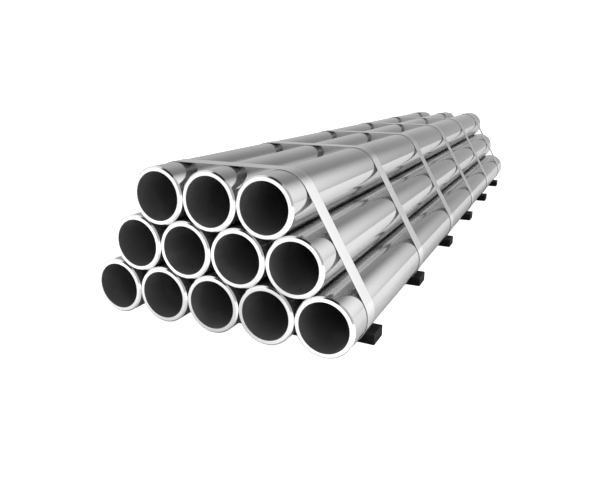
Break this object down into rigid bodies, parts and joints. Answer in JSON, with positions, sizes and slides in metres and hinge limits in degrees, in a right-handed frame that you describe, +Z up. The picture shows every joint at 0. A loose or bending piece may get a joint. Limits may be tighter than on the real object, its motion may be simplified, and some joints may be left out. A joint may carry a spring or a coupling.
{
  "type": "bundle of steel pipes",
  "caption": "Steel pipes with bevelled ends, nested in rows, bound with flat steel straps and lying on low bearers for lifting and storage.",
  "frame": {"origin": "on the floor, below the middle of the bundle's length and width", "axes": "+Z up, +Y along the pipes towards the back end, +X to the right seen from the front end"},
  "size_m": [0.8462, 3.05, 0.4984],
  "materials": {
    "pipe_steel": "satin",
    "strap_steel": "satin",
    "seal_steel": "satin",
    "bearer": "matte"
  },
  "bodies": {
    "root": {"bottom_pipe_1": "pipe_steel", "bottom_pipe_2": "pipe_steel", "bottom_pipe_3": "pipe_steel", "bottom_pipe_4": "pipe_steel", "bottom_pipe_5": "pipe_steel", "middle_pipe_1": "pipe_steel", "middle_pipe_2": "pipe_steel", "middle_pipe_3": "pipe_steel", "middle_pipe_4": "pipe_steel", "top_pipe_1": "pipe_steel", "top_pipe_2": "pipe_steel", "top_pipe_3": "pipe_steel", "strap_1": "strap_steel", "strap_2": "strap_steel", "strap_3": "strap_steel", "strap_4": "strap_steel", "strap_5": "strap_steel", "strap_6": "strap_steel", "strap_seal_1": "seal_steel", "strap_seal_2": "seal_steel", "strap_seal_3": "seal_steel", "strap_seal_4": "seal_steel", "strap_seal_5": "seal_steel", "strap_seal_6": "seal_steel", "bearer_1": "bearer", "bearer_2": "bearer", "bearer_3": "bearer", "bearer_4": "bearer", "bearer_5": "bearer", "bearer_6": "bearer"}
  },
  "joints": []
}
